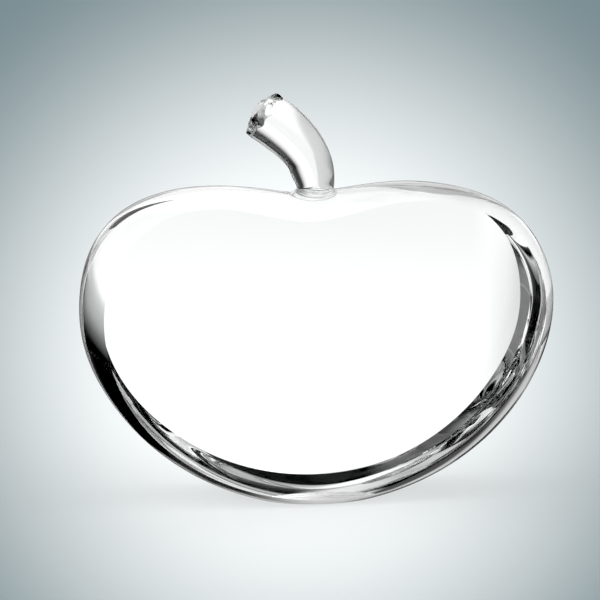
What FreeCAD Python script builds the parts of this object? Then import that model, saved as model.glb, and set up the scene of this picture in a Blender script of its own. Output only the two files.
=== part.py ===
"""Art glass apple: a flat slab of clear crystal with a rounded rim and a bent crystal stem bonded on top.

Lengths are millimetres. X runs to the right across the front face, Y runs into the slab from front to
back and Z runs up. The origin is on the resting plane, midway across the width and the thickness.
"""
import FreeCAD, Part
import math
import os
import Sketcher

# Driving sizes of the crystal body
BODY_SIZES = {
    "face_width": 94.0,
    "face_height": 63.6,
    "thickness": 26.5,
    "crest_depth": 11.8,
    "rim_bulge": 3.8,
    "back_inset": 1.8,
    "foot_drop": 1.57,
}

# Driving sizes of the ground seat and the bonded joint
JOINT_SIZES = {
    "stem_offset": -0.5,
    "seat_diameter": 10.4,
    "seat_depth": 1.0,
    "film_thickness": 0.2,
    "collar_lean": 0.7,
    "collar_width": 1.0,
    "collar_height": 2.3,
}

# Driving sizes of the stem, bends in degrees
STEM_SIZES = {
    "stem_base_diameter": 7.8,
    "stem_tip_diameter": 10.8,
    "end_chamfer": 0.4,
    "lower_bend_radius": 12.0,
    "lower_bend_angle": 35.5,
    "upper_bend_radius": 31.5,
    "upper_bend_angle": 21.0,
    "tip_length": 2.6,
    "scoop_radius": 2.6,
}

# Stations from the lowest point of the outline up one side to the shoulder, the same on both sides:
# share of half the face width, share of the face height, share of the rim bulge
SIDE_STATION_SHARES = (
    (0.400, 0.052, 0.76),
    (0.700, 0.178, 0.66),
    (0.900, 0.352, 0.75),
    (0.985, 0.520, 0.97),
    (0.996, 0.680, 1.00),
)
LOWEST_STATION_SHARES = (0.0, 0.0, 0.89)

# Stations over the two lobes and the dip, from the right shoulder to the left one
TOP_STATION_SHARES = (
    (0.925, 0.822, 0.93),
    (0.800, 0.916, 0.82),
    (0.620, 0.980, 0.56),
    (0.420, 1.000, 0.50),
    (0.220, 0.983, 0.66),
    (0.060, 0.955, 0.92),
    (-0.090, 0.942, 1.06),
    (-0.250, 0.961, 1.00),
    (-0.480, 0.991, 0.70),
    (-0.680, 0.974, 0.70),
    (-0.820, 0.919, 0.93),
    (-0.930, 0.826, 1.08),
)

# How far the back edge lies inside the front edge at the same stations, as shares of the back inset
RIGHT_INSET_SHARES = (0.89, 1.20, 1.22, 0.92, 0.93)
TOP_INSET_SHARES = (0.60, 0.35, 0.35, 0.40, 0.45, 0.50, 0.50, 0.50, 0.45, 0.40, 0.35, 0.40)
LEFT_INSET_SHARES = (0.55, 0.60, 0.85, 1.12, 1.02)
LOWEST_INSET_SHARE = 0.86

# The collar's hollow side from its foot to its lip: share of its height, share of its width there
COLLAR_SIDE_SHARES = (
    (0.00, 1.00),
    (0.20, 0.52),
    (0.55, 0.20),
    (1.00, 0.06),
)

# Depths of the lofted outlines, as shares of the way from the front edge to the crest
# and of the way from the crest to the back edge
RIM_DEPTH_SHARES = (0.0, 1 / 3, 2 / 3, 1.0)

# Number of circles that the stem is lofted through
STEM_SECTION_COUNT = 11

# Broken facets on the tip: turn about the stem and tilt from its end, in degrees,
# then how far out from the stem's middle the facet starts, as a share of the tip's radius
TIP_FACET_SHARES = (
    (0.0, 8.0, 0.00),
    (8.0, 31.0, 0.40),
    (350.0, 46.0, 0.78),
    (62.0, 37.0, 0.60),
    (115.0, 27.0, 0.52),
    (180.0, 15.0, 0.30),
    (186.0, 66.0, 0.86),
    (236.0, 32.0, 0.60),
    (292.0, 41.0, 0.56),
)

# Shell-shaped scoops in the tip: turn about the stem in degrees, then distance from its middle
# and height over its end as shares of the tip's radius
TIP_SCOOP_SHARES = (
    (338.0, 1.16, 0.10),
    (152.0, 1.20, 0.30),
    (215.0, 0.78, 0.42),
)


def make_sheet(doc):
    """Write the driving sizes into a spreadsheet, each cell with its alias."""
    sheet = doc.addObject("Spreadsheet::Sheet", "sizes")
    row = 1
    for group in (BODY_SIZES, JOINT_SIZES, STEM_SIZES):
        for name, value in group.items():
            sheet.set("A%d" % row, name)
            sheet.set("B%d" % row, str(value))
            sheet.setAlias("B%d" % row, name)
            row += 1
    doc.recompute()
    return sheet


def origin_plane(body, role):
    """Return one of a body's own origin planes."""
    return next(item for item in body.Origin.OriginFeatures if item.Role == role)


def add_sketch(body, name, role):
    """Add an empty sketch on one of the body's own origin planes."""
    sketch = body.newObject("Sketcher::SketchObject", name)
    sketch.AttachmentSupport = [(origin_plane(body, role), "")]
    sketch.MapMode = "FlatFace"
    return sketch


def add_circle(sketch, diameter):
    """Draw a circle about the sketch's origin, its diameter bound to an expression."""
    drawn = Part.Circle()
    circle = sketch.addGeometry(drawn)
    sketch.addConstraint(Sketcher.Constraint("Coincident", circle, 3, -1, 1))
    bound = sketch.addConstraint(Sketcher.Constraint("Diameter", circle, 2 * drawn.Radius))
    sketch.setExpression("Constraints[%d]" % bound, diameter)


def check_cut(before, feature):
    """Stop if a cut left no new face on the shape that it was made in."""
    if len(feature.Shape.Faces) <= len(before.Faces):
        raise RuntimeError("%s cut nothing" % feature.Label)


def outline_stations(sheet):
    """List the outline's stations: point on the front edge in X and Z, rim bulge and back inset there."""
    left = [(-x, z, bulge) for x, z, bulge in reversed(SIDE_STATION_SHARES)]
    shares = [LOWEST_STATION_SHARES, *SIDE_STATION_SHARES, *TOP_STATION_SHARES, *left]
    insets = [LOWEST_INSET_SHARE, *RIGHT_INSET_SHARES, *TOP_INSET_SHARES, *LEFT_INSET_SHARES]
    half_width = sheet.face_width / 2
    stations = []
    for (x, z, bulge), inset in zip(shares, insets):
        point = FreeCAD.Vector(x * half_width, sheet.foot_drop + z * sheet.face_height, 0)
        stations.append((point, bulge * sheet.rim_bulge, inset * sheet.back_inset))
    return stations


def outline_places(points):
    """Return each point's place along the closed outline, the first one again at the end."""
    places = [0.0]
    for start, end in zip(points, points[1:] + points[:1]):
        places.append(places[-1] + start.distanceToPoint(end))
    return places


def closed_curve(points, places):
    """Return the smooth closed curve through the points at their places along it."""
    curve = Part.BSplineCurve()
    curve.interpolate(Points=points, PeriodicFlag=True, Parameters=places)
    return curve


def outward_normals(points, places):
    """Return the unit normals that point out of a closed curve drawn anticlockwise."""
    curve = closed_curve(points, places)
    normals = []
    for point in points:
        along = curve.tangent(curve.parameter(point))[0]
        normals.append(FreeCAD.Vector(along.y, -along.x, 0))
    return normals


def rim_levels(sheet):
    """List the lofted outlines: depth expression, and how far each stands out for a given bulge."""
    levels = []
    for share in RIM_DEPTH_SHARES:
        depth = "sizes.crest_depth * %.6f" % share
        levels.append((depth, lambda bulge, inset, s=share: bulge * (1 - (1 - s) ** 2)))
    for share in RIM_DEPTH_SHARES[1:]:
        depth = "sizes.crest_depth + (sizes.thickness - sizes.crest_depth) * %.6f" % share
        levels.append((depth, lambda bulge, inset, s=share: bulge - (bulge + inset) * s ** 2))
    return levels


def make_apple_body(doc, sheet):
    """Loft the slab through its outlines from the front face over the crest to the back face."""
    body = doc.addObject("PartDesign::Body", "apple_body")
    stations = outline_stations(sheet)
    points = [point for point, bulge, inset in stations]
    places = outline_places(points)
    normals = outward_normals(points, places)
    outlines = []
    for number, (depth, standing) in enumerate(rim_levels(sheet)):
        sketch = add_sketch(body, "rim_outline_%d" % number, "XZ_Plane")
        sketch.setExpression("AttachmentOffset.Base.z", "sizes.thickness / 2 - (%s)" % depth)
        moved = [
            point + normal * standing(bulge, inset)
            for (point, bulge, inset), normal in zip(stations, normals)
        ]
        sketch.addGeometry(closed_curve(moved, places))
        outlines.append(sketch)
    doc.recompute()
    slab = body.newObject("PartDesign::AdditiveLoft", "slab")
    slab.Profile = outlines[0]
    slab.Sections = outlines[1:]
    doc.recompute()

    foot_outline = add_sketch(body, "foot_outline", "XY_Plane")
    add_circle(foot_outline, "sizes.face_width * 2")
    doc.recompute()
    foot = body.newObject("PartDesign::Pocket", "foot")
    foot.Profile = foot_outline
    foot.Type = "ThroughAll"
    foot.Reversed = False
    doc.recompute()
    check_cut(slab.Shape, foot)
    return body


def saddle_height(sheet, shape):
    """Return the height of the rim's surface under the middle of the stem."""
    below = FreeCAD.Vector(sheet.stem_offset, crest_place(sheet), sheet.face_height / 2)
    above = below + FreeCAD.Vector(0, 0, sheet.face_height)
    inside = Part.makeLine(below, above).common(shape)
    return inside.BoundBox.ZMax


def crest_place(sheet):
    """Return the crest's place in Y."""
    return sheet.crest_depth - sheet.thickness / 2


def grind_seat(doc, sheet, body, seat_floor):
    """Grind the flat round seat for the stem into the saddle of the rim."""
    outline = add_sketch(body, "seat_outline", "XY_Plane")
    outline.AttachmentOffset = FreeCAD.Placement(
        FreeCAD.Vector(sheet.stem_offset - sheet.collar_lean, crest_place(sheet), seat_floor),
        FreeCAD.Rotation(),
    )
    add_circle(outline, "sizes.seat_diameter")
    doc.recompute()
    before = body.Shape
    seat = body.newObject("PartDesign::Pocket", "seat")
    seat.Profile = outline
    seat.Type = "ThroughAll"
    seat.Reversed = True
    doc.recompute()
    check_cut(before, seat)


def stem_length(sheet):
    """Return the length of the stem's middle line."""
    lower = sheet.lower_bend_radius * math.radians(sheet.lower_bend_angle)
    upper = sheet.upper_bend_radius * math.radians(sheet.upper_bend_angle)
    return sheet.collar_height + lower + upper + sheet.tip_length


def stem_frame(sheet, distance):
    """Return the placement on the stem's middle line at a distance from its lower end."""
    runs = (
        (math.inf, sheet.collar_height),
        (sheet.lower_bend_radius, sheet.lower_bend_radius * math.radians(sheet.lower_bend_angle)),
        (sheet.upper_bend_radius, sheet.upper_bend_radius * math.radians(sheet.upper_bend_angle)),
        (math.inf, sheet.tip_length),
    )
    place = FreeCAD.Vector()
    heading = 0.0
    left = distance
    for radius, length in runs:
        step = min(left, length)
        if radius == math.inf:
            place += FreeCAD.Vector(-math.sin(heading), 0, math.cos(heading)) * step
        else:
            turned = heading + step / radius
            across = radius * (math.cos(turned) - math.cos(heading))
            up = radius * (math.sin(turned) - math.sin(heading))
            place += FreeCAD.Vector(across, 0, up)
            heading = turned
        left -= step
    turn = FreeCAD.Rotation(FreeCAD.Vector(0, 1, 0), -math.degrees(heading))
    return FreeCAD.Placement(place, turn)


def make_land(doc, sheet, name):
    """Make the straight round land of the stem's lower end, with its chamfered edge."""
    body = doc.addObject("PartDesign::Body", name)
    outline = add_sketch(body, name + "_outline", "XY_Plane")
    add_circle(outline, "sizes.stem_base_diameter")
    doc.recompute()
    land = body.newObject("PartDesign::Pad", name + "_land")
    land.Profile = outline
    land.setExpression("Length", "sizes.collar_height")
    doc.recompute()
    chamfer = body.newObject("PartDesign::Chamfer", name + "_chamfer")
    chamfer.Base = (land, [lowest_edge(land.Shape)])
    chamfer.setExpression("Size", "sizes.end_chamfer")
    doc.recompute()
    check_cut(land.Shape, chamfer)
    return body


def lowest_edge(shape):
    """Return the name of a shape's lowest edge."""
    heights = [edge.BoundBox.ZMax for edge in shape.Edges]
    return "Edge%d" % (heights.index(min(heights)) + 1)


def make_stem_rod(doc, sheet):
    """Make the bent rod on its land, in short drawn lengths that grow thicker towards the tip."""
    body = make_land(doc, sheet, "stem_rod")
    circles = []
    bent_length = stem_length(sheet) - sheet.collar_height
    for number in range(STEM_SECTION_COUNT):
        share = number / (STEM_SECTION_COUNT - 1)
        circle = add_sketch(body, "stem_circle_%d" % number, "XY_Plane")
        circle.AttachmentOffset = stem_frame(sheet, sheet.collar_height + share * bent_length)
        swell = 1 - (1 - share) ** 2
        growth = "(sizes.stem_tip_diameter - sizes.stem_base_diameter) * %.6f" % swell
        add_circle(circle, "sizes.stem_base_diameter + " + growth)
        circles.append(circle)
    doc.recompute()
    bend = body.newObject("PartDesign::AdditiveLoft", "bend")
    bend.Profile = circles[0]
    bend.Sections = circles[1:]
    bend.Ruled = True
    doc.recompute()
    return body


def make_tip_cutters(doc, sheet):
    """Make the blocks and balls that break facets and scoops out of the tip."""
    tip = stem_frame(sheet, stem_length(sheet))
    tip_radius = sheet.stem_tip_diameter / 2
    cutters = []
    for number, (turn, tilt, start) in enumerate(TIP_FACET_SHARES):
        block = doc.addObject("Part::Box", "tip_facet_%d" % number)
        for side in ("Length", "Width", "Height"):
            block.setExpression(side, "sizes.stem_tip_diameter * 2")
        spin = FreeCAD.Rotation(FreeCAD.Vector(0, 0, 1), turn)
        lean = FreeCAD.Rotation(FreeCAD.Vector(0, 1, 0), tilt)
        facet = FreeCAD.Placement(FreeCAD.Vector(), spin * lean)
        reach = start * tip_radius * math.sin(math.radians(tilt))
        corner = FreeCAD.Vector(-sheet.stem_tip_diameter, -sheet.stem_tip_diameter, reach)
        block.Placement = tip * facet * FreeCAD.Placement(corner, FreeCAD.Rotation())
        cutters.append(block)
    for number, (turn, across, over) in enumerate(TIP_SCOOP_SHARES):
        ball = doc.addObject("Part::Sphere", "tip_scoop_%d" % number)
        ball.setExpression("Radius", "sizes.scoop_radius")
        spin = FreeCAD.Placement(FreeCAD.Vector(), FreeCAD.Rotation(FreeCAD.Vector(0, 0, 1), turn))
        middle = FreeCAD.Vector(across * tip_radius, 0, over * tip_radius)
        ball.Placement = tip * spin * FreeCAD.Placement(middle, FreeCAD.Rotation())
        cutters.append(ball)
    return cutters


def make_stem(doc, sheet, seat_floor):
    """Break the rod's tip and stand the stem over its seat, on the adhesive film."""
    rod = make_stem_rod(doc, sheet)
    cutters = doc.addObject("Part::MultiFuse", "tip_cutters")
    cutters.Shapes = make_tip_cutters(doc, sheet)
    doc.recompute()
    stem = doc.addObject("Part::Cut", "stem")
    stem.Base = rod
    stem.Tool = cutters
    doc.recompute()
    check_cut(rod.Shape, stem)
    stem.Placement = FreeCAD.Placement(
        FreeCAD.Vector(sheet.stem_offset, crest_place(sheet), seat_floor + sheet.film_thickness),
        FreeCAD.Rotation(),
    )
    return stem


def make_collar(doc, sheet):
    """Make the full collar: a hollow-sided heap that leans to the left at its foot."""
    body = doc.addObject("PartDesign::Body", "adhesive_heap")
    circles = []
    for number, (height, width) in enumerate(COLLAR_SIDE_SHARES):
        circle = add_sketch(body, "collar_circle_%d" % number, "XY_Plane")
        circle.AttachmentOffset = FreeCAD.Placement(
            FreeCAD.Vector(-width * sheet.collar_lean, 0, height * sheet.collar_height),
            FreeCAD.Rotation(),
        )
        add_circle(circle, "sizes.stem_base_diameter + 2 * sizes.collar_width * %.6f" % width)
        circles.append(circle)
    doc.recompute()
    heap = body.newObject("PartDesign::AdditiveLoft", "heap")
    heap.Profile = circles[0]
    heap.Sections = circles[1:]
    heap.Ruled = True
    doc.recompute()
    return body


def make_stem_adhesive(doc, sheet, seat_floor):
    """Leave the clear film under the stem and the collar round it, where the stem's land stands."""
    collar = make_collar(doc, sheet)
    socket = make_land(doc, sheet, "stem_socket")
    socket.Placement = FreeCAD.Placement(
        FreeCAD.Vector(0, 0, sheet.film_thickness), FreeCAD.Rotation()
    )
    adhesive = doc.addObject("Part::Cut", "stem_adhesive")
    adhesive.Base = collar
    adhesive.Tool = socket
    doc.recompute()
    check_cut(collar.Shape, adhesive)
    adhesive.Placement = FreeCAD.Placement(
        FreeCAD.Vector(sheet.stem_offset, crest_place(sheet), seat_floor), FreeCAD.Rotation()
    )
    return adhesive


def check_document(doc, parts):
    """Stop if any object failed, or if a piece isn't one valid solid."""
    for item in doc.Objects:
        if "Invalid" in item.State or "Error" in item.State:
            raise RuntimeError("%s failed: %s" % (item.Label, item.State))
    for part in parts:
        shape = part.Shape
        if shape.isNull() or not shape.isValid() or len(shape.Solids) != 1:
            raise RuntimeError("%s is not one valid solid" % part.Label)


def main():
    doc = FreeCAD.newDocument("art_glass_apple")
    sheet = make_sheet(doc)
    apple_body = make_apple_body(doc, sheet)
    seat_floor = saddle_height(sheet, apple_body.Shape) - sheet.seat_depth
    grind_seat(doc, sheet, apple_body, seat_floor)
    stem = make_stem(doc, sheet, seat_floor)
    stem_adhesive = make_stem_adhesive(doc, sheet, seat_floor)
    doc.recompute()
    parts = (apple_body, stem, stem_adhesive)
    check_document(doc, parts)

    os.makedirs("parts", exist_ok=True)
    for part in parts:
        part.Shape.exportStep("parts/%s.step" % part.Label)
        box = part.Shape.BoundBox
        print(part.Label, "volume %.1f" % part.Shape.Volume)
        print("  X %.2f to %.2f" % (box.XMin, box.XMax))
        print("  Y %.2f to %.2f" % (box.YMin, box.YMax))
        print("  Z %.2f to %.2f" % (box.ZMin, box.ZMax))


main()
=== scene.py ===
"""Art glass apple in a bright studio: a clear crystal slab with a bent crystal stem bonded on top.

Lengths are metres in the part's frame: X to the right across the front face, Y into the slab, Z up.
Azimuths are degrees from straight behind the apple, positive towards its right.
"""
import math

import bmesh
import bpy
import numpy
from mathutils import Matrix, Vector, noise


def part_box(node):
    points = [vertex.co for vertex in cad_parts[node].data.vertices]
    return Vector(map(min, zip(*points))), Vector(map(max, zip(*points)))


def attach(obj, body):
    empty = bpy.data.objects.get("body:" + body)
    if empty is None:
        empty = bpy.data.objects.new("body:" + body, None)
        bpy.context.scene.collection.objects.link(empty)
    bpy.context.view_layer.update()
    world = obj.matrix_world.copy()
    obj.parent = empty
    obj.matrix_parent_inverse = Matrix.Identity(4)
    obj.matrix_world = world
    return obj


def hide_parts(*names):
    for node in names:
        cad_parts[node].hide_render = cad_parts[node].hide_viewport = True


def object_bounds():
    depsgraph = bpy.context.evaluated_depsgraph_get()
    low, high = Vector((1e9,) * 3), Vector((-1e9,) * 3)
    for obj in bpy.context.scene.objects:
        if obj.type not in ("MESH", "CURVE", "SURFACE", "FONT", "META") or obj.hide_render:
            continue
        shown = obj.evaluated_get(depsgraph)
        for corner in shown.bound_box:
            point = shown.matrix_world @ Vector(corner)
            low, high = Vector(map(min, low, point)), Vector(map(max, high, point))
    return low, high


MM = 0.001

# Camera, from the photograph
CAMERA_AZIMUTH = -9.67
CAMERA_ELEVATION = 11.08
CAMERA_DISTANCE = 0.7444
CAMERA_LENS = 210.0
SENSOR_WIDTH = 36.0
AIM_ACROSS_SHARE = -0.0352
AIM_HEIGHT_SHARE = 0.4869
CLIP_START = 0.05
CLIP_END = 12.0

# Body: its size, the depth of the rim's crest, how far the rim stands out there, how far the back edge
# lies inside the front edge, and how far the foot is ground off the outline's lowest point
FACE_WIDTH = 94.0 * MM
FACE_HEIGHT = 63.6 * MM
BODY_THICKNESS = 26.5 * MM
CREST_DEPTH = 11.8 * MM
RIM_BULGE = 3.8 * MM
BACK_INSET = 1.8 * MM
FOOT_DROP = 1.57 * MM

# Stations round the outline from its lowest point, anticlockwise: share of half the face width,
# share of the face height, share of the rim bulge, share of the back inset
OUTLINE_SHARES = (
    (0.000, 0.000, 0.89, 0.86),
    (0.400, 0.052, 0.76, 0.89),
    (0.700, 0.178, 0.66, 1.20),
    (0.900, 0.352, 0.75, 1.22),
    (0.985, 0.520, 0.97, 0.92),
    (0.996, 0.680, 1.00, 0.93),
    (0.925, 0.822, 0.93, 0.60),
    (0.800, 0.916, 0.82, 0.35),
    (0.620, 0.980, 0.56, 0.35),
    (0.420, 1.000, 0.50, 0.40),
    (0.220, 0.983, 0.66, 0.45),
    (0.060, 0.955, 0.92, 0.50),
    (-0.090, 0.942, 1.06, 0.50),
    (-0.250, 0.961, 1.00, 0.50),
    (-0.480, 0.991, 0.70, 0.45),
    (-0.680, 0.974, 0.70, 0.40),
    (-0.820, 0.919, 0.93, 0.35),
    (-0.930, 0.826, 1.08, 0.40),
    (-0.996, 0.680, 1.00, 0.55),
    (-0.985, 0.520, 0.97, 0.60),
    (-0.900, 0.352, 0.75, 0.85),
    (-0.700, 0.178, 0.66, 1.12),
    (-0.400, 0.052, 0.76, 1.02),
)

# How finely the body is drawn, the angle in degrees that counts as a crisp edge, and the share of its
# size that it is drawn at
POINTS_PER_STATION = 22
CREST_RING_COUNT = 24
BACK_RING_COUNT = 30
CRISP_EDGE_ANGLE = 14.0
BODY_EASE = 0.9998

# The stem's middle line from its foot, in metres and degrees: straight land, two bends, straight tip
STEM_LAND = 2.3 * MM
LOWER_BEND = (12.0 * MM, 35.5)
UPPER_BEND = (31.5 * MM, 21.0)
STEM_TIP_RUN = 2.6 * MM
STEM_FOOT_ACROSS = -0.5 * MM
STEM_BASE_RADIUS = 3.9 * MM
STEM_TIP_RADIUS = 5.4 * MM
STEM_CHAMFER = 0.4 * MM

# How finely the stem is drawn: points round it, rings along it, round its tip and over its broken end
STEM_TURN_COUNT = 160
STEM_RING_STEP = 0.4 * MM
TIP_WALL_RING_COUNT = 10
TIP_RING_COUNT = 44

# The inner side of the stem swells into a lip near its tip
LIP_TURN = 180.0
LIP_SWELL = 0.35 * MM
LIP_RUN = 2.0 * MM

# Slight swells of the hand-drawn rod: distance from the foot, half length, turn, rise
ROD_SWELLS = (
    (15.0 * MM, 8.0 * MM, 0.0, 0.26 * MM),
    (5.2 * MM, 4.2 * MM, 180.0, 0.42 * MM),
    (12.0 * MM, 5.0 * MM, 180.0, -0.14 * MM),
)

# Broken facets on the tip: turn about the stem and tilt from its end in degrees, and where the facet
# starts as a share of the radius
TIP_FACETS = (
    (0.0, 8.0, 0.00),
    (8.0, 31.0, 0.40),
    (350.0, 46.0, 0.78),
    (62.0, 37.0, 0.60),
    (115.0, 27.0, 0.52),
    (180.0, 15.0, 0.30),
    (186.0, 66.0, 0.86),
    (236.0, 32.0, 0.60),
    (292.0, 41.0, 0.56),
    (262.0, 24.0, 0.34),
    (318.0, 22.0, 0.30),
    (28.0, 52.0, 0.88),
    (90.0, 55.0, 0.90),
    (148.0, 44.0, 0.78),
    (206.0, 50.0, 0.80),
)

# Round chips in the tip: turn in degrees, distance from the middle as a share of the radius,
# radius and depth
TIP_CHIPS = (
    (338.0, 0.96, 1.9 * MM, 1.50 * MM),
    (152.0, 0.98, 1.7 * MM, 1.00 * MM),
    (215.0, 0.72, 2.0 * MM, 0.90 * MM),
    (250.0, 0.86, 1.2 * MM, 0.70 * MM),
    (272.0, 0.60, 1.0 * MM, 0.45 * MM),
    (236.0, 0.46, 0.9 * MM, 0.40 * MM),
    (196.0, 0.88, 0.8 * MM, 0.45 * MM),
    (284.0, 0.92, 0.8 * MM, 0.50 * MM),
    (304.0, 0.80, 0.7 * MM, 0.35 * MM),
    (322.0, 0.66, 0.9 * MM, 0.35 * MM),
    (12.0, 0.84, 1.0 * MM, 0.40 * MM),
    (44.0, 0.90, 1.3 * MM, 0.55 * MM),
    (78.0, 0.70, 1.1 * MM, 0.40 * MM),
    (104.0, 0.94, 1.0 * MM, 0.50 * MM),
    (130.0, 0.62, 1.2 * MM, 0.45 * MM),
    (176.0, 0.50, 1.0 * MM, 0.35 * MM),
    (0.0, 0.40, 1.3 * MM, 0.30 * MM),
)

# Ripples inside the chips and grain over the whole break: height and length
CHIP_RIPPLE = 0.035 * MM
CHIP_RIPPLE_LENGTH = 0.45 * MM
CHIP_GRAIN = 0.05 * MM
CHIP_GRAIN_LENGTH = 0.5 * MM

# The bonded collar: its seat in the body, the overlap that closes the bond, and its uneven width
SEAT_RADIUS = 5.2 * MM
SEAT_ACROSS = -1.2 * MM
SEAT_CUT_COUNT = 120
SEAT_CUT_DEPTH = 10.0 * MM
FILM_THICKNESS = 0.2 * MM
BOND_OVERLAP = 0.03 * MM
SEAT_EDGE_STEP = 0.05 * MM
COLLAR_RISE = 1.9 * MM
COLLAR_TURN_COUNT = 120
COLLAR_SIDE_COUNT = 20
COLLAR_HOLLOW = 2.4
COLLAR_UNEVEN = 0.10

# Waves round the collar: how many, where they start in degrees, and their size
COLLAR_WAVES = ((2, 40.0, 0.6), (3, 200.0, 0.5), (5, 115.0, 0.35))

# Clear materials: index of refraction, faint tint, waves per metre, their depth, and the most haze
CRYSTAL_IOR = 1.52
ADHESIVE_IOR = 1.50
POLISHED_CRYSTAL = (CRYSTAL_IOR, (0.985, 0.995, 0.99), 60.0, 0.002 * MM, 0.004)
DRAWN_CRYSTAL = (CRYSTAL_IOR, (0.98, 0.99, 0.985), 160.0, 0.006 * MM, 0.010)
CHIPPED_CRYSTAL = (CRYSTAL_IOR, (0.80, 0.86, 0.80), 900.0, 0.04 * MM, 0.12)
CLEAR_RESIN = (ADHESIVE_IOR, (0.96, 0.98, 0.97), 700.0, 0.010 * MM, 0.04)
LEAST_TINT = (0.995, 0.998, 0.997)
TINT_DETAIL = 2.0
WAVE_DETAIL = 0.0

# Studio tones, as linear brightness, and the brightness that the picture shows as black
BLACK_LEVEL = 0.03
SURROUND_TONE = (0.010, 0.0105, 0.0102)
EVEN_TONE = (0.55, 0.56, 0.56)
BACKDROP_TONE = (0.213, 0.281, 0.305)
# Painted pool of light on the floor as the camera sees it: pale in its middle, darker at its rim
PAINTED_POOL_CENTRE = (0.97, 0.99, 0.99)
PAINTED_POOL_RIM = (0.200, 0.262, 0.282)

# Paper on the floor with a painted pool of light: its size and roughness, the pool's pale middle, the
# distance, height and drop of the sight that the pool is painted for, and where its fade starts and ends,
# as slopes seen from there
PAPER_RADIUS = 3.0
PAPER_SIDE_COUNT = 96
PAPER_ROUGHNESS = 0.9
PAINTED_LIGHT_MIDDLE = (0.0194, 0.135)
PAPER_VIEW_DISTANCE = 0.867
PAPER_VIEW_SLOPE = 0.2134
PAPER_VIEW_DROP = 0.0025
NEAREST_SIGHT_SHARE = 0.1
POOL_FADE_START = 0.025
POOL_FADE_END = 0.139

# Light and shade painted on the paper for the crystal to gather, in place of the studio's bright and dark
# surroundings:
# slope to the right of the photograph's line of sight, and tone there. First the part that all three
# ramps from the apple backwards share, then those three ramps and the two in front of the apple.
RIGHT_SIDE_PAINTED_TONES = (
    (0.063, 0.65),
    (0.078, 0.51),
    (0.101, 0.40),
    (0.121, 0.28),
    (0.148, 0.17),
    (0.188, 0.09),
    (0.242, 0.027),
    (0.400, 0.006),
)
BESIDE_PAINTED_TONES = (
    (-0.80, 0.28),
    (-0.40, 0.22),
    (-0.20, 0.40),
    (-0.12, 0.64),
    (-0.075, 0.68),
    (-0.064, 1.06),
    (0.050, 1.06),
    (0.057, 0.80),
    *RIGHT_SIDE_PAINTED_TONES,
)
# Close beside the apple: a painted shadow on its left, then tones over 1 that paint light back where the
# crystal shades the paper
CLOSE_PAINTED_TONES = (
    (-0.80, 0.28),
    (-0.20, 0.32),
    (-0.13, 0.34),
    (-0.10, 0.08),
    (-0.085, 0.02),
    (-0.058, 0.05),
    (-0.050, 0.12),
    (-0.044, 1.35),
    (-0.004, 1.35),
    (0.008, 1.06),
    (0.045, 1.06),
    (0.053, 0.60),
    *RIGHT_SIDE_PAINTED_TONES,
)
BEHIND_PAINTED_TONES = (
    (-0.80, 0.18),
    (-0.50, 0.10),
    (-0.38, 0.45),
    (-0.22, 0.62),
    (-0.085, 0.68),
    (-0.073, 0.91),
    (0.050, 0.91),
    (0.056, 1.06),
    *RIGHT_SIDE_PAINTED_TONES,
)
FRONT_PAINTED_TONES = (
    (-0.80, 0.22),
    (-0.25, 0.20),
    (-0.10, 0.02),
    (0.03, 0.01),
    (0.09, 0.50),
    (0.18, 0.50),
    (0.30, 0.10),
    (0.60, 0.09),
)
FAR_FRONT_PAINTED_TONES = ((-0.80, 0.30), (0.60, 0.36))

# Where the paper's painted light and shade change over, as distances behind the painted pool's pale
# middle
FAR_FRONT_START = -0.60
FAR_FRONT_END = -0.45
FRONT_START = -0.185
FRONT_END = -0.150
CLOSE_START = -0.112
CLOSE_END = -0.094
BEHIND_START = -0.035
BEHIND_END = 0.265

# Shades that the paper's painted light and shade is multiplied by: through glass, and painted shade where
# a surface mirrors it, which darkens the crystal's reflections
WHITE = (1.0, 1.0, 1.0)
MIRRORED_SHADE = (0.06, 0.06, 0.06)

# Even light from above on the paper
FILL_STRENGTH = 1.75

# Patches of the surroundings, each over the ones before it: azimuth, elevation, half width and half
# height in degrees, softness of the edge, tone
STUDIO_PATCHES = (
    (182.0, 24.0, 46.0, 36.0, 0.25, 0.55),
    (215.0, 54.0, 20.0, 11.0, 0.50, 0.16),
    (-92.0, 31.0, 38.0, 18.0, 0.50, 0.16),
    (-115.0, 4.0, 50.0, 16.0, 0.40, 0.24),
    (-24.0, 12.0, 46.0, 26.0, 0.45, 0.62),
    (4.0, 38.0, 16.0, 8.0, 0.50, 0.85),
    (-2.0, 0.0, 40.0, 17.0, 0.45, 1.10),
    (42.0, 62.0, 26.0, 22.0, 0.20, 1.00),
    (-26.0, 50.0, 20.0, 11.0, 0.50, 0.10),
    (75.0, 8.0, 32.0, 16.0, 0.50, 0.06),
    (57.0, 8.0, 16.0, 16.0, 0.50, 0.03),
    (68.0, 37.0, 14.0, 6.0, 0.50, 0.70),
    (-53.0, 5.0, 14.0, 9.0, 0.40, 0.03),
)

# A patch is drawn only where a direction faces its middle at least this much
LEAST_FACING = 0.05

# Most bounces of light in all, off surfaces and through them
MOST_BOUNCES = 24
MOST_GLOSSY_BOUNCES = 16


def facing(azimuth, elevation):
    """Return the unit direction at an azimuth and elevation."""
    turn, rise = math.radians(azimuth), math.radians(elevation)
    return Vector((math.sin(turn) * math.cos(rise), math.cos(turn) * math.cos(rise), math.sin(rise)))


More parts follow.
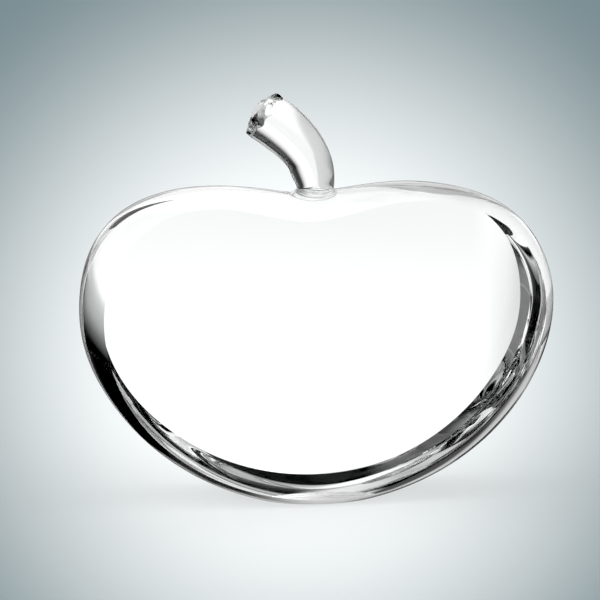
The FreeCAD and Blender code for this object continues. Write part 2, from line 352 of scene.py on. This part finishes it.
def make_camera(low, high):
    """Aim the camera at the apple from the photograph's viewpoint."""
    aim = Vector((
        AIM_ACROSS_SHARE * (high.x - low.x),
        0.0,
        AIM_HEIGHT_SHARE * (high.z - low.z),
    ))
    turn, rise = math.radians(CAMERA_AZIMUTH), math.radians(CAMERA_ELEVATION)
    back = Vector((math.sin(turn) * math.cos(rise), -math.cos(turn) * math.cos(rise), math.sin(rise)))
    data = bpy.data.cameras.new("camera")
    data.lens = CAMERA_LENS
    data.sensor_width = SENSOR_WIDTH
    data.clip_start = CLIP_START
    data.clip_end = CLIP_END
    camera = bpy.data.objects.new("camera", data)
    camera.location = aim + back * CAMERA_DISTANCE
    camera.rotation_euler = (-back).to_track_quat("-Z", "Y").to_euler()
    bpy.context.collection.objects.link(camera)
    bpy.context.scene.camera = camera


def add_node(tree, kind, **settings):
    """Add a node and set the attributes that are given."""
    node = tree.nodes.new(kind)
    for name, value in settings.items():
        setattr(node, name, value)
    return node


def dot_with(tree, direction, axis):
    """Return the socket of a direction's dot product with a fixed axis."""
    node = add_node(tree, "ShaderNodeVectorMath", operation="DOT_PRODUCT")
    tree.links.new(direction, node.inputs[0])
    node.inputs[1].default_value = axis
    return node.outputs["Value"]


def add_patch(tree, direction, colour, patch):
    """Blend one soft oval patch into the colour of the surroundings, which starts as the base tone."""
    azimuth, elevation, half_width, half_height, softness, tone = patch
    middle = facing(azimuth, elevation)
    across = facing(azimuth + 90.0, 0.0) / math.tan(math.radians(half_width))
    upward = facing(azimuth, elevation + 90.0) / math.tan(math.radians(half_height))
    ahead = add_node(tree, "ShaderNodeMath", operation="MAXIMUM")
    tree.links.new(dot_with(tree, direction, middle), ahead.inputs[0])
    ahead.inputs[1].default_value = LEAST_FACING
    squares = []
    for axis in (across, upward):
        slope = add_node(tree, "ShaderNodeMath", operation="DIVIDE")
        tree.links.new(dot_with(tree, direction, axis), slope.inputs[0])
        tree.links.new(ahead.outputs[0], slope.inputs[1])
        square = add_node(tree, "ShaderNodeMath", operation="MULTIPLY")
        tree.links.new(slope.outputs[0], square.inputs[0])
        tree.links.new(slope.outputs[0], square.inputs[1])
        squares.append(square.outputs[0])
    total = add_node(tree, "ShaderNodeMath", operation="ADD")
    tree.links.new(squares[0], total.inputs[0])
    tree.links.new(squares[1], total.inputs[1])
    reach = add_node(tree, "ShaderNodeMath", operation="SQRT")
    tree.links.new(total.outputs[0], reach.inputs[0])
    edge = add_node(tree, "ShaderNodeMapRange", interpolation_type="SMOOTHSTEP")
    tree.links.new(reach.outputs[0], edge.inputs["Value"])
    edge.inputs["From Min"].default_value = 1.0 + softness
    edge.inputs["From Max"].default_value = 1.0 - softness
    edge.inputs["To Min"].default_value = 0.0
    edge.inputs["To Max"].default_value = 1.0
    mix = add_node(tree, "ShaderNodeMix", data_type="RGBA")
    tree.links.new(edge.outputs["Result"], mix.inputs["Factor"])
    if colour is None:
        mix.inputs["A"].default_value = (*SURROUND_TONE, 1.0)
    else:
        tree.links.new(colour, mix.inputs["A"])
    mix.inputs["B"].default_value = (tone, tone, tone, 1.0)
    return mix.outputs["Result"]


def tone_on(tree, path, colour, tone):
    """Return a socket that shows one tone to one kind of light path and the colour to the others."""
    paths = add_node(tree, "ShaderNodeLightPath")
    mix = add_node(tree, "ShaderNodeMix", data_type="RGBA")
    tree.links.new(paths.outputs[path], mix.inputs["Factor"])
    tree.links.new(colour, mix.inputs["A"])
    mix.inputs["B"].default_value = (*tone, 1.0)
    return mix.outputs["Result"]


def make_surroundings():
    """Light the studio from all round, with soft bright and dark patches for the crystal to show."""
    world = bpy.data.worlds.new("studio")
    bpy.context.scene.world = world
    world.use_nodes = True
    tree = world.node_tree
    direction = add_node(tree, "ShaderNodeTexCoord").outputs["Generated"]
    colour = None
    for patch in STUDIO_PATCHES:
        colour = add_patch(tree, direction, colour, patch)
    background = tree.nodes["Background"]
    colour = tone_on(tree, "Is Diffuse Ray", colour, EVEN_TONE)
    colour = tone_on(tree, "Is Camera Ray", colour, BACKDROP_TONE)
    tree.links.new(colour, background.inputs["Color"])


def across_and_along(tree):
    """Return sockets of a floor point's distances across and along the photograph's line of sight."""
    place = add_node(tree, "ShaderNodeTexCoord").outputs["Object"]
    shifted = add_node(tree, "ShaderNodeVectorMath", operation="SUBTRACT")
    tree.links.new(place, shifted.inputs[0])
    shifted.inputs[1].default_value = (*PAINTED_LIGHT_MIDDLE, 0.0)
    ahead = facing(-CAMERA_AZIMUTH, 0.0)
    right = facing(90.0 - CAMERA_AZIMUTH, 0.0)
    return dot_with(tree, shifted.outputs[0], right), dot_with(tree, shifted.outputs[0], ahead)


def sight_distance(tree, along):
    """Return the socket of a floor point's distance from the place that the paper's painted light is laid
    out for.
    """
    distance = add_node(tree, "ShaderNodeMath", operation="ADD")
    tree.links.new(along, distance.inputs[0])
    distance.inputs[1].default_value = PAPER_VIEW_DISTANCE
    beyond = add_node(tree, "ShaderNodeMath", operation="MAXIMUM")
    tree.links.new(distance.outputs[0], beyond.inputs[0])
    beyond.inputs[1].default_value = NEAREST_SIGHT_SHARE * PAPER_VIEW_DISTANCE
    return beyond.outputs[0]


def painted_light_pool(tree):
    """Return the socket of the painted pool of light, from 1 in its pale middle to 0 at its rim."""
    across, along = across_and_along(tree)
    rise = add_node(tree, "ShaderNodeMath", operation="MULTIPLY_ADD")
    tree.links.new(along, rise.inputs[0])
    rise.inputs[1].default_value = PAPER_VIEW_SLOPE
    rise.inputs[2].default_value = PAPER_VIEW_DROP
    spread = add_node(tree, "ShaderNodeCombineXYZ")
    tree.links.new(across, spread.inputs["X"])
    tree.links.new(rise.outputs[0], spread.inputs["Y"])
    reach = add_node(tree, "ShaderNodeVectorMath", operation="LENGTH")
    tree.links.new(spread.outputs[0], reach.inputs[0])
    slope = add_node(tree, "ShaderNodeMath", operation="DIVIDE")
    tree.links.new(reach.outputs["Value"], slope.inputs[0])
    tree.links.new(sight_distance(tree, along), slope.inputs[1])
    return smooth_step(tree, slope.outputs[0], POOL_FADE_END, POOL_FADE_START)


def smooth_step(tree, value, at_zero, at_one):
    """Return a socket that rises smoothly from 0 to 1 between two values."""
    step = add_node(tree, "ShaderNodeMapRange", interpolation_type="SMOOTHSTEP")
    tree.links.new(value, step.inputs["Value"])
    step.inputs["From Min"].default_value = at_zero
    step.inputs["From Max"].default_value = at_one
    return step.outputs["Result"]


def blend(tree, factor, at_zero, at_one):
    """Return the socket of a blend between two fixed colours."""
    mix = add_node(tree, "ShaderNodeMix", data_type="RGBA")
    tree.links.new(factor, mix.inputs["Factor"])
    mix.inputs["A"].default_value = (*at_zero, 1.0)
    mix.inputs["B"].default_value = (*at_one, 1.0)
    return mix.outputs["Result"]


def tone_ramp(tree, slope, tones):
    """Return the socket of a tone that follows the slope to the right of the line of sight."""
    nearest, farthest = tones[0][0], tones[-1][0]
    place = add_node(tree, "ShaderNodeMapRange")
    tree.links.new(slope, place.inputs["Value"])
    place.inputs["From Min"].default_value = nearest
    place.inputs["From Max"].default_value = farthest
    ramp = add_node(tree, "ShaderNodeValToRGB")
    tree.links.new(place.outputs["Result"], ramp.inputs["Fac"])
    stops = ramp.color_ramp.elements
    for number, (sideways, tone) in enumerate(tones):
        share = (sideways - nearest) / (farthest - nearest)
        stop = stops[0] if number == 0 else stops[-1] if share == 1.0 else stops.new(share)
        stop.position = share
        stop.color = (tone, tone, tone, 1.0)
    return ramp.outputs["Color"]


def painted_light_and_shade(tree):
    """Return the socket of the light and shade painted on the paper by its place beside, behind or in
    front of the apple.
    """
    across, along = across_and_along(tree)
    slope = add_node(tree, "ShaderNodeMath", operation="DIVIDE")
    tree.links.new(across, slope.inputs[0])
    tree.links.new(sight_distance(tree, along), slope.inputs[1])
    colour = tone_ramp(tree, slope.outputs[0], FAR_FRONT_PAINTED_TONES)
    for tones, start, end in (
        (FRONT_PAINTED_TONES, FAR_FRONT_START, FAR_FRONT_END),
        (CLOSE_PAINTED_TONES, FRONT_START, FRONT_END),
        (BESIDE_PAINTED_TONES, CLOSE_START, CLOSE_END),
        (BEHIND_PAINTED_TONES, BEHIND_START, BEHIND_END),
    ):
        mix = add_node(tree, "ShaderNodeMix", data_type="RGBA")
        tree.links.new(smooth_step(tree, along, start, end), mix.inputs["Factor"])
        tree.links.new(colour, mix.inputs["A"])
        tree.links.new(tone_ramp(tree, slope.outputs[0], tones), mix.inputs["B"])
        colour = mix.outputs["Result"]
    return colour


def multiplied(tree, first, second):
    """Return the socket of two colours' product."""
    node = add_node(tree, "ShaderNodeVectorMath", operation="MULTIPLY")
    tree.links.new(first, node.inputs[0])
    tree.links.new(second, node.inputs[1])
    return node.outputs[0]


def dimmed_mirror(tree, colour):
    """Return a socket that keeps only a share of the colour for light that a surface mirrors, a painted
    shade that darkens reflections.
    """
    paths = add_node(tree, "ShaderNodeLightPath")
    shade = blend(tree, paths.outputs["Is Reflection Ray"], WHITE, MIRRORED_SHADE)
    return multiplied(tree, colour, shade)


def make_floor():
    """Lay a wide round paper floor with a painted pool of light and painted light and shade for the
    crystal to gather.
    """
    mesh = bpy.data.meshes.new("floor")
    outline = bmesh.new()
    bmesh.ops.create_circle(outline, cap_ends=True, radius=PAPER_RADIUS, segments=PAPER_SIDE_COUNT)
    outline.to_mesh(mesh)
    outline.free()
    floor = bpy.data.objects.new("floor", mesh)
    bpy.context.collection.objects.link(floor)
    material = bpy.data.materials.new("pale_floor")
    material.use_nodes = True
    tree = material.node_tree
    shader = tree.nodes["Principled BSDF"]
    # Painted pool of light, shown to camera rays only
    painted_pool = blend(tree, painted_light_pool(tree), PAINTED_POOL_RIM, PAINTED_POOL_CENTRE)
    path = add_node(tree, "ShaderNodeLightPath")
    mix = add_node(tree, "ShaderNodeMix", data_type="RGBA")
    tree.links.new(path.outputs["Is Camera Ray"], mix.inputs["Factor"])
    # Every other ray sees the painted light and shade, with painted shade where a surface mirrors it
    tree.links.new(dimmed_mirror(tree, painted_light_and_shade(tree)), mix.inputs["A"])
    tree.links.new(painted_pool, mix.inputs["B"])
    tree.links.new(mix.outputs["Result"], shader.inputs["Base Color"])
    shader.inputs["Roughness"].default_value = PAPER_ROUGHNESS
    shader.inputs["Specular IOR Level"].default_value = 0.0
    mesh.materials.append(material)


def make_fill_light():
    """Light the paper evenly from above."""
    data = bpy.data.lights.new("fill", "SUN")
    data.energy = FILL_STRENGTH
    data.use_shadow = False
    light = bpy.data.objects.new("fill", data)
    light.visible_glossy = False
    light.visible_transmission = False
    bpy.context.collection.objects.link(light)


def spline_weights(places, per_span):
    """Return the matrix that turns the stations' points into points on the smooth closed curve."""
    count = len(places) - 1
    spans = numpy.diff(places)
    system = numpy.zeros((count, count))
    rise = numpy.zeros((count, count))
    for number in range(count):
        before, after = (number - 1) % count, (number + 1) % count
        system[number, before] += spans[before] / 6.0
        system[number, number] += (spans[before] + spans[number]) / 3.0
        system[number, after] += spans[number] / 6.0
        rise[number, before] += 1.0 / spans[before]
        rise[number, number] -= 1.0 / spans[before] + 1.0 / spans[number]
        rise[number, after] += 1.0 / spans[number]
    bends = numpy.linalg.solve(system, rise)
    weights, slopes = [], []
    identity = numpy.eye(count)
    for number in range(count):
        after, span = (number + 1) % count, spans[number]
        for step in range(per_span):
            b = step / per_span
            a = 1.0 - b
            bend = (a ** 3 - a) * bends[number] + (b ** 3 - b) * bends[after]
            weights.append(a * identity[number] + b * identity[after] + bend * span ** 2 / 6.0)
        slope = (identity[after] - identity[number]) / span
        slopes.append(slope - span / 6.0 * (2.0 * bends[number] + bends[after]))
    return numpy.array(weights), numpy.array(slopes)


def make_body(seat_middle, seat_floor, material):
    """Draw the slab's lofted rim, faces, ground foot and ground seat as one fine polished mesh."""
    shares = numpy.array(OUTLINE_SHARES)
    outline = numpy.stack((
        shares[:, 0] * FACE_WIDTH / 2.0,
        FOOT_DROP + shares[:, 1] * FACE_HEIGHT,
    ), axis=1)
    bulges, insets = shares[:, 2] * RIM_BULGE, shares[:, 3] * BACK_INSET
    runs = numpy.linalg.norm(numpy.roll(outline, -1, axis=0) - outline, axis=1)
    places = numpy.concatenate(([0.0], numpy.cumsum(runs)))
    weights, slopes = spline_weights(places, POINTS_PER_STATION)
    tangents = slopes @ outline
    normals = numpy.stack((tangents[:, 1], -tangents[:, 0]), axis=1)
    normals /= numpy.linalg.norm(normals, axis=1, keepdims=True)
    count = len(weights)
    rings = []
    for number in range(CREST_RING_COUNT + 1):
        share = number / CREST_RING_COUNT
        rings.append((share * CREST_DEPTH, bulges * (1.0 - (1.0 - share) ** 2)))
    for number in range(1, BACK_RING_COUNT + 1):
        share = number / BACK_RING_COUNT
        depth = CREST_DEPTH + share * (BODY_THICKNESS - CREST_DEPTH)
        rings.append((depth, bulges - (bulges + insets) * share ** 2))
    points, faces = [], []
    for depth, standing in rings:
        ring = weights @ (outline + normals * standing[:, None]) * BODY_EASE
        points += [(x, depth - BODY_THICKNESS / 2.0, z) for x, z in ring]
    for ring in range(len(rings) - 1):
        faces += ring_faces(ring * count, (ring + 1) * count, count)
    last = (len(rings) - 1) * count
    faces.append((tuple(range(count)), 0, False))
    faces.append((tuple(last + number for number in reversed(range(count))), 0, False))
    piece = new_piece("polished_body", points, faces, (material,))
    grind_foot(piece.data)
    grind_seat(piece, seat_middle, seat_floor)
    piece.data.set_sharp_from_angle(angle=math.radians(CRISP_EDGE_ANGLE))
    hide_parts("apple_body")
    return piece


def grind_foot(mesh):
    """Cut the mesh off flat at the resting plane."""
    shape = bmesh.new()
    shape.from_mesh(mesh)
    parts = shape.verts[:] + shape.edges[:] + shape.faces[:]
    cut = bmesh.ops.bisect_plane(
        shape, geom=parts, plane_co=(0.0, 0.0, 0.0), plane_no=(0.0, 0.0, 1.0), clear_inner=True
    )
    edges = [part for part in cut["geom_cut"] if isinstance(part, bmesh.types.BMEdge)]
    bmesh.ops.contextual_create(shape, geom=edges)
    bmesh.ops.recalc_face_normals(shape, faces=shape.faces)
    shape.to_mesh(mesh)
    shape.free()


def grind_seat(piece, middle, floor):
    """Cut the flat round seat into the saddle of the rim."""
    mesh = bpy.data.meshes.new("seat_cutter")
    shape = bmesh.new()
    bmesh.ops.create_cone(
        shape, cap_ends=True, segments=SEAT_CUT_COUNT, radius1=SEAT_RADIUS, radius2=SEAT_RADIUS,
        depth=SEAT_CUT_DEPTH,
    )
    centre = (middle.x, middle.y, floor + SEAT_CUT_DEPTH / 2.0)
    bmesh.ops.translate(shape, verts=shape.verts, vec=centre)
    shape.to_mesh(mesh)
    shape.free()
    cutter = bpy.data.objects.new("seat_cutter", mesh)
    bpy.context.collection.objects.link(cutter)
    cut = piece.modifiers.new("seat", "BOOLEAN")
    cut.operation = "DIFFERENCE"
    cut.solver = "EXACT"
    cut.object = cutter
    graph = bpy.context.evaluated_depsgraph_get()
    ground = bpy.data.meshes.new_from_object(piece.evaluated_get(graph))
    piece.modifiers.clear()
    piece.data = ground
    bpy.data.objects.remove(cutter)


def stem_place(distance):
    """Return the place of the stem's middle line at a distance from its foot, and its lean there."""
    across, up, lean, left = 0.0, 0.0, 0.0, distance
    for radius, angle in ((0.0, 0.0), LOWER_BEND, UPPER_BEND, (0.0, 0.0)):
        if radius:
            step = min(left, radius * math.radians(angle))
            turned = lean + step / radius
            across += radius * (math.cos(turned) - math.cos(lean))
            up += radius * (math.sin(turned) - math.sin(lean))
            lean = turned
        else:
            step = left if lean else min(left, STEM_LAND)
            across -= step * math.sin(lean)
            up += step * math.cos(lean)
        left -= step
    return Vector((across, 0.0, up)), lean


def stem_length():
    """Return the length of the stem's middle line."""
    bends = sum(radius * math.radians(angle) for radius, angle in (LOWER_BEND, UPPER_BEND))
    return STEM_LAND + bends + STEM_TIP_RUN


def stem_point(distance, turn, radius, over=0.0):
    """Return a point at a turn and radius about the stem's middle line, over its cross-section."""
    place, lean = stem_place(distance)
    outward = Vector((math.cos(lean), 0.0, math.sin(lean)))
    along = Vector((-math.sin(lean), 0.0, math.cos(lean)))
    side = Vector((0.0, 1.0, 0.0))
    return place + (outward * math.cos(turn) + side * math.sin(turn)) * radius + along * over


def stem_radius(distance, turn):
    """Return the stem's radius, with its swell, the lip on its inner side and the chamfer at its foot."""
    share = max(0.0, distance - STEM_LAND) / (stem_length() - STEM_LAND)
    radius = STEM_BASE_RADIUS + (STEM_TIP_RADIUS - STEM_BASE_RADIUS) * (1.0 - (1.0 - share) ** 2)
    near = max(0.0, 1.0 - (stem_length() - distance) / LIP_RUN)
    lip = LIP_SWELL * near ** 2 * max(0.0, math.cos(turn - math.radians(LIP_TURN))) ** 2
    for middle, reach, side, rise in ROD_SWELLS:
        nearness = max(0.0, 1.0 - ((distance - middle) / reach) ** 2) ** 2
        radius += rise * nearness * max(0.0, math.cos(turn - math.radians(side))) ** 2
    return radius + lip - max(0.0, STEM_CHAMFER - distance)


def tip_height(across, side):
    """Return how far the broken end stands over the stem's square end at a point of the section."""
    height = 0.0
    for turn, tilt, start in TIP_FACETS:
        turn, tilt = math.radians(turn), math.radians(tilt)
        out = across * math.cos(turn) + side * math.sin(turn)
        height = min(height, (start * STEM_TIP_RADIUS - out) * math.tan(tilt))
    for turn, share, radius, depth in TIP_CHIPS:
        turn = math.radians(turn)
        reach = math.hypot(
            across - math.cos(turn) * share * STEM_TIP_RADIUS,
            side - math.sin(turn) * share * STEM_TIP_RADIUS,
        )
        if reach < radius:
            bowl = 1.0 - (reach / radius) ** 2
            ripple = math.cos(2.0 * math.pi * reach / CHIP_RIPPLE_LENGTH)
            height -= depth * bowl + CHIP_RIPPLE * ripple * bowl
    grain = noise.noise(Vector((across, side, 0.0)) / CHIP_GRAIN_LENGTH)
    return height + CHIP_GRAIN * grain


def new_piece(name, points, faces, materials):
    """Make a smooth mesh piece that rides on the body and takes its finish from a slot."""
    mesh = bpy.data.meshes.new(name)
    mesh.from_pydata(points, [], [corners for corners, index, smooth in faces])
    for polygon, (corners, index, smooth) in zip(mesh.polygons, faces):
        polygon.material_index = index
        polygon.use_smooth = smooth
    for material in materials:
        mesh.materials.append(material)
    mesh.validate()
    piece = bpy.data.objects.new(name, mesh)
    bpy.context.collection.objects.link(piece)
    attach(piece, "root")
    return piece


def ring_faces(first, second, count, index=0, smooth=True):
    """Return the quads between two rings of points, which start at the given numbers."""
    faces = []
    for number in range(count):
        following = (number + 1) % count
        corners = (first + number, first + following, second + following, second + number)
        faces.append((corners, index, smooth))
    return faces


def make_stem(foot, materials):
    """Make the drawn stem in one smooth mesh, with its chipped and rippled broken tip."""
    count = STEM_TURN_COUNT
    turns = [2.0 * math.pi * number / count for number in range(count)]
    length = stem_length()
    last_plain = length - STEM_TIP_RUN
    steps = [0.0, STEM_CHAMFER]
    while steps[-1] + STEM_RING_STEP < last_plain:
        steps.append(steps[-1] + STEM_RING_STEP)
    rims = []
    for turn in turns:
        rim = stem_radius(length, turn)
        rims.append((rim, tip_height(rim * math.cos(turn), rim * math.sin(turn))))
    points, faces = [foot], []
    for distance in steps:
        points += [foot + stem_point(distance, turn, stem_radius(distance, turn)) for turn in turns]
    for number in range(1, TIP_WALL_RING_COUNT + 1):
        share = number / TIP_WALL_RING_COUNT
        for turn, (rim, height) in zip(turns, rims):
            distance = steps[-1] + share * (length + height - steps[-1])
            radius = stem_radius(min(distance, length), turn)
            points.append(foot + stem_point(distance, turn, radius))
    for number in range(1, TIP_RING_COUNT):
        share = 1.0 - number / TIP_RING_COUNT
        for turn, (rim, height) in zip(turns, rims):
            rim_radius = stem_radius(min(length, length + height), turn)
            across, side = rim_radius * share * math.cos(turn), rim_radius * share * math.sin(turn)
            over = tip_height(across, side)
            points.append(foot + stem_point(length, turn, rim_radius * share, over))
    points.append(foot + stem_point(length, 0.0, 0.0, tip_height(0.0, 0.0)))
    wall_count = len(steps) + TIP_WALL_RING_COUNT
    ring_count = wall_count + TIP_RING_COUNT - 1
    for number in range(count):
        faces.append(((0, 1 + (number + 1) % count, 1 + number), 0, False))
    for ring in range(ring_count - 1):
        broken = ring >= wall_count - 1
        faces += ring_faces(1 + ring * count, 1 + (ring + 1) * count, count, int(broken), not broken)
    top = 1 + (ring_count - 1) * count
    for number in range(count):
        faces.append(((top + number, top + (number + 1) % count, len(points) - 1), 1, False))
    piece = new_piece("chipped_stem", points, faces, materials)
    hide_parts("stem")
    return piece


def height_over(body, across, along, start):
    """Return the height of the body's surface straight under a point."""
    hit, place, normal, number = body.ray_cast(Vector((across, along, start)), Vector((0.0, 0.0, -1.0)))
    return place.z if hit else 0.0


def collar_waves(turn):
    """Return how much the collar's height differs at a turn, from about -1 to 1."""
    return sum(size * math.cos(count * turn + math.radians(start)) for count, start, size in COLLAR_WAVES)


def make_collar(body, seat_middle, stem_middle, materials):
    """Fill the seat with clear adhesive that draws up the stem in a hollow, uneven collar."""
    count = COLLAR_TURN_COUNT
    turns = [2.0 * math.pi * number / count for number in range(count)]
    floor = seat_middle.z
    foot, brims = [], []
    for turn in turns:
        outward = Vector((math.cos(turn), math.sin(turn), 0.0))
        edge = seat_middle + outward * (SEAT_RADIUS + BOND_OVERLAP)
        edge.z = floor - BOND_OVERLAP
        foot.append(edge)
        beyond = seat_middle + outward * (SEAT_RADIUS + SEAT_EDGE_STEP)
        brim = seat_middle + outward * (SEAT_RADIUS + BOND_OVERLAP)
        brim.z = height_over(body, beyond.x, beyond.y, floor + 2.0 * COLLAR_RISE) - SEAT_EDGE_STEP
        brims.append(brim)
    rings = [foot, brims]
    top = floor + FILM_THICKNESS + COLLAR_RISE
    for step in range(1, COLLAR_SIDE_COUNT + 1):
        share = step / COLLAR_SIDE_COUNT
        ring = []
        for turn, brim in zip(turns, brims):
            outward = Vector((math.cos(turn), math.sin(turn), 0.0))
            waves = collar_waves(turn)
            lip = stem_middle + outward * (STEM_BASE_RADIUS - BOND_OVERLAP)
            lip.z = top
            lip_height = top - brim.z
            place = brim.lerp(lip, share)
            rise = share ** (COLLAR_HOLLOW + COLLAR_UNEVEN * waves)
            place.z = brim.z + lip_height * (1.0 + COLLAR_UNEVEN * waves) * rise
            ring.append(place)
        rings.append(ring)
    for radius, height in (
        (STEM_BASE_RADIUS - BOND_OVERLAP, FILM_THICKNESS + STEM_CHAMFER),
        (STEM_BASE_RADIUS - STEM_CHAMFER - BOND_OVERLAP, FILM_THICKNESS + BOND_OVERLAP),
    ):
        ring = []
        for turn in turns:
            outward = Vector((math.cos(turn), math.sin(turn), 0.0))
            place = stem_middle + outward * radius
            place.z = floor + height
            ring.append(place)
        rings.append(ring)
    points, faces = [Vector((seat_middle.x, seat_middle.y, floor - BOND_OVERLAP))], []
    for ring in rings:
        points += ring
    points.append(Vector((stem_middle.x, stem_middle.y, floor + FILM_THICKNESS + BOND_OVERLAP)))
    for number in range(count):
        faces.append(((0, 1 + (number + 1) % count, 1 + number), 0, False))
    for ring in range(len(rings) - 1):
        smooth = 1 <= ring < len(rings) - 3
        faces += ring_faces(1 + ring * count, 1 + (ring + 1) * count, count, 0, smooth)
    last = 1 + (len(rings) - 1) * count
    for number in range(count):
        faces.append(((last + number, last + (number + 1) % count, len(points) - 1), 0, False))
    piece = new_piece("adhesive_collar", points, faces, materials)
    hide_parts("stem_adhesive")
    return piece


def clear_material(name, ior, tint, wave_scale, wave_depth, haze):
    """Make polished glass with a faint tint and haze that vary, and waves too shallow to model."""
    material = bpy.data.materials.new(name)
    material.use_nodes = True
    tree = material.node_tree
    shader = tree.nodes["Principled BSDF"]
    shader.inputs["IOR"].default_value = ior
    shader.inputs["Transmission Weight"].default_value = 1.0
    place = add_node(tree, "ShaderNodeTexCoord").outputs["Object"]
    cloud = add_noise(tree, place, wave_scale, TINT_DETAIL)
    tree.links.new(blend(tree, cloud, tint, LEAST_TINT), shader.inputs["Base Color"])
    rough = add_node(tree, "ShaderNodeMapRange")
    tree.links.new(cloud, rough.inputs["Value"])
    rough.inputs["To Min"].default_value = 0.0
    rough.inputs["To Max"].default_value = haze
    tree.links.new(rough.outputs["Result"], shader.inputs["Roughness"])
    waves = add_noise(tree, place, wave_scale, WAVE_DETAIL)
    bump = add_node(tree, "ShaderNodeBump")
    bump.inputs["Strength"].default_value = 1.0
    bump.inputs["Distance"].default_value = wave_depth
    tree.links.new(waves, bump.inputs["Height"])
    tree.links.new(bump.outputs["Normal"], shader.inputs["Normal"])
    return material


def add_noise(tree, place, scale, detail):
    """Return the socket of a noise texture at a place."""
    noise_node = add_node(tree, "ShaderNodeTexNoise")
    tree.links.new(place, noise_node.inputs["Vector"])
    noise_node.inputs["Scale"].default_value = scale
    noise_node.inputs["Detail"].default_value = detail
    return noise_node.outputs["Fac"]


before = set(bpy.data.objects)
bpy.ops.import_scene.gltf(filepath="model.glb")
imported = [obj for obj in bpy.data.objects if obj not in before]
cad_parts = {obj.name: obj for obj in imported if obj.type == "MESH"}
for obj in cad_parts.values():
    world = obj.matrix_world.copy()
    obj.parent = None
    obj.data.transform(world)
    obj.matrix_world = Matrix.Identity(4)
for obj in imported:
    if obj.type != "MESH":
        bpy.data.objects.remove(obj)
cad_low, cad_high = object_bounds()

make_camera(cad_low, cad_high)
make_surroundings()
make_floor()
make_fill_light()
stem_low, stem_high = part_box("stem")
stem_foot = Vector((STEM_FOOT_ACROSS, (stem_low[1] + stem_high[1]) / 2, stem_low[2]))
crystal = clear_material("drawn_crystal", *DRAWN_CRYSTAL)
chipped = clear_material("chipped_crystal", *CHIPPED_CRYSTAL)
make_stem(stem_foot, (crystal, chipped))
seat_middle = Vector((SEAT_ACROSS, stem_foot.y, stem_foot.z - FILM_THICKNESS))
resin = clear_material("clear_resin", *CLEAR_RESIN)
polished = clear_material("polished_crystal", *POLISHED_CRYSTAL)
body = make_body(seat_middle, seat_middle.z, polished)
make_collar(body, seat_middle, stem_foot, (resin,))

scene = bpy.context.scene
scene.view_settings.view_transform = "Standard"
scene.view_settings.use_curve_mapping = True
scene.view_settings.curve_mapping.black_level = (BLACK_LEVEL, BLACK_LEVEL, BLACK_LEVEL)
scene.cycles.max_bounces = MOST_BOUNCES
scene.cycles.glossy_bounces = MOST_GLOSSY_BOUNCES
scene.cycles.transmission_bounces = MOST_BOUNCES
